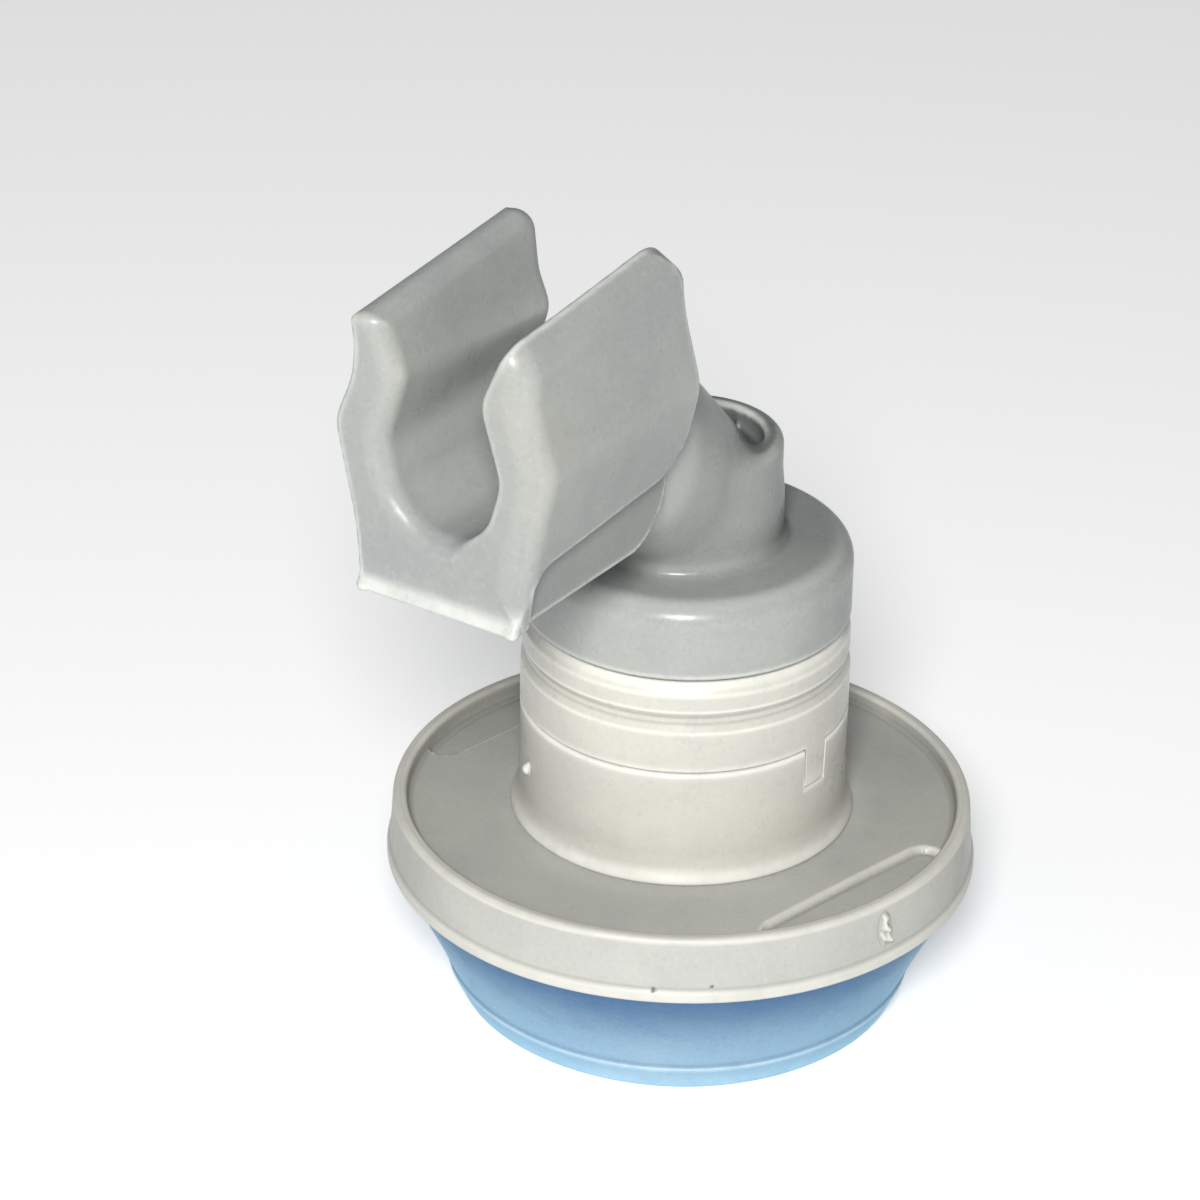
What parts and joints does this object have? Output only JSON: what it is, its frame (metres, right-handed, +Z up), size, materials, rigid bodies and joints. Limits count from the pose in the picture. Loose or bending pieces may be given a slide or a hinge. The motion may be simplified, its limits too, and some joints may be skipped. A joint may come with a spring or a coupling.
{
  "type": "liquor pour spout",
  "caption": "Tapered bottle stopper with a dished flange, a neck, and a swivelling turret whose inclined arm feeds an open pour trough; turning it opens or shuts the flow.",
  "frame": {"origin": "centre of the inlet bore's mouth, on the turret's axis, in the plane of the stopper's small end", "axes": "+Z up along the turret's axis, away from the bottle; the trough points along -Y"},
  "size_m": [0.051, 0.0615, 0.0769],
  "materials": {
    "blue_rubber": "soft satin rubber, slightly milky",
    "white_plastic": "off-white moulded plastic, semi-gloss",
    "cream_plastic": "cream moulded plastic, semi-gloss",
    "grey_plastic": "cool grey moulded plastic, semi-gloss",
    "valve_plastic": "natural acetal, matt",
    "white_slip": "low-friction white plastic, matt",
    "grey_seal": "soft grey sealing rubber",
    "black_seal": "black O-ring rubber",
    "steel": "stainless steel"
  },
  "bodies": {
    "base": {"stopper_skirt": "blue_rubber", "flange_dish": "white_plastic", "foot_gasket": "grey_seal", "neck_barrel": "cream_plastic", "base_nut": "white_plastic", "neck_collar": "cream_plastic", "port_disc": "valve_plastic", "barrel_o_ring": "black_seal", "face_seal": "grey_seal", "stop_pin": "steel", "thrust_washer": "white_slip", "vent_tube": "valve_plastic", "vent_cage": "valve_plastic", "strainer_screen": "steel", "strainer_ring": "steel"},
    "turret": {"turret_cap": "grey_plastic", "pour_trough": "grey_plastic", "rotor_disc": "valve_plastic", "turret_o_ring": "black_seal", "air_port_ring": "black_seal", "cap_screws": "steel"},
    "ball": {"vent_ball": "steel"}
  },
  "joints": [
    {"name": "turret_swivel", "type": "hinge", "parent": "base", "child": "turret", "pos_m": [0, 0, 0.0355], "axis": [0, 0, 1], "range_deg": [-12, 78]},
    {"name": "vent_ball_travel", "type": "slide", "parent": "base", "child": "ball", "axis": [0, 0, 1], "range_m": [0, 0.002]}
  ]
}
